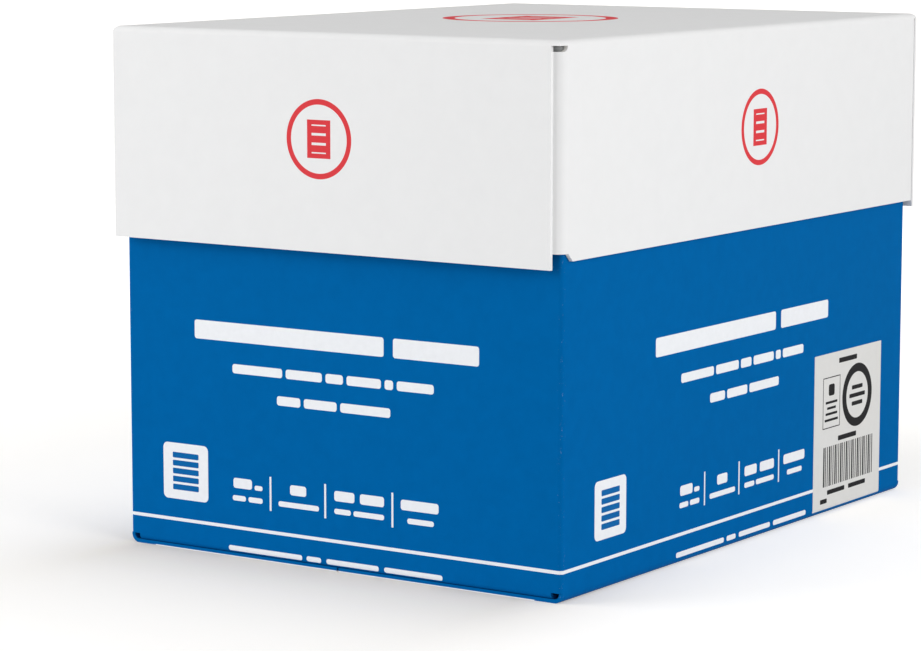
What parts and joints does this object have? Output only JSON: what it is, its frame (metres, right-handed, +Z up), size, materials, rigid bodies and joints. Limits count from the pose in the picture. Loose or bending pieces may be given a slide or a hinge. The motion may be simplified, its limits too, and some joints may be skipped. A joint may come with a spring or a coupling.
{
  "type": "carton of paper reams",
  "caption": "Lidded corrugated carton with a lid that lifts straight off a folded base, packed with a stack of wrapped reams of letter-size copy paper.",
  "frame": {"origin": "on the floor under the middle of the carton", "axes": "+X across the narrow ends, +Y along the length, +Z up through the lid"},
  "size_m": [0.24, 0.3302, 0.2389],
  "materials": {
    "base_board": "printed corrugated board, satin blue",
    "lid_board": "coated white corrugated board, satin",
    "ream_wrap": "coated wrapping paper, satin"
  },
  "bodies": {
    "carton": {"carton_base": "base_board", "ream_1": "ream_wrap", "ream_2": "ream_wrap", "ream_3": "ream_wrap", "ream_4": "ream_wrap", "ream_5": "ream_wrap"},
    "lid": {"carton_lid": "lid_board"}
  },
  "joints": [
    {"name": "lid_lift", "type": "slide", "parent": "carton", "child": "lid", "axis": [0, 0, 1], "range_m": [0, 0.13]}
  ]
}
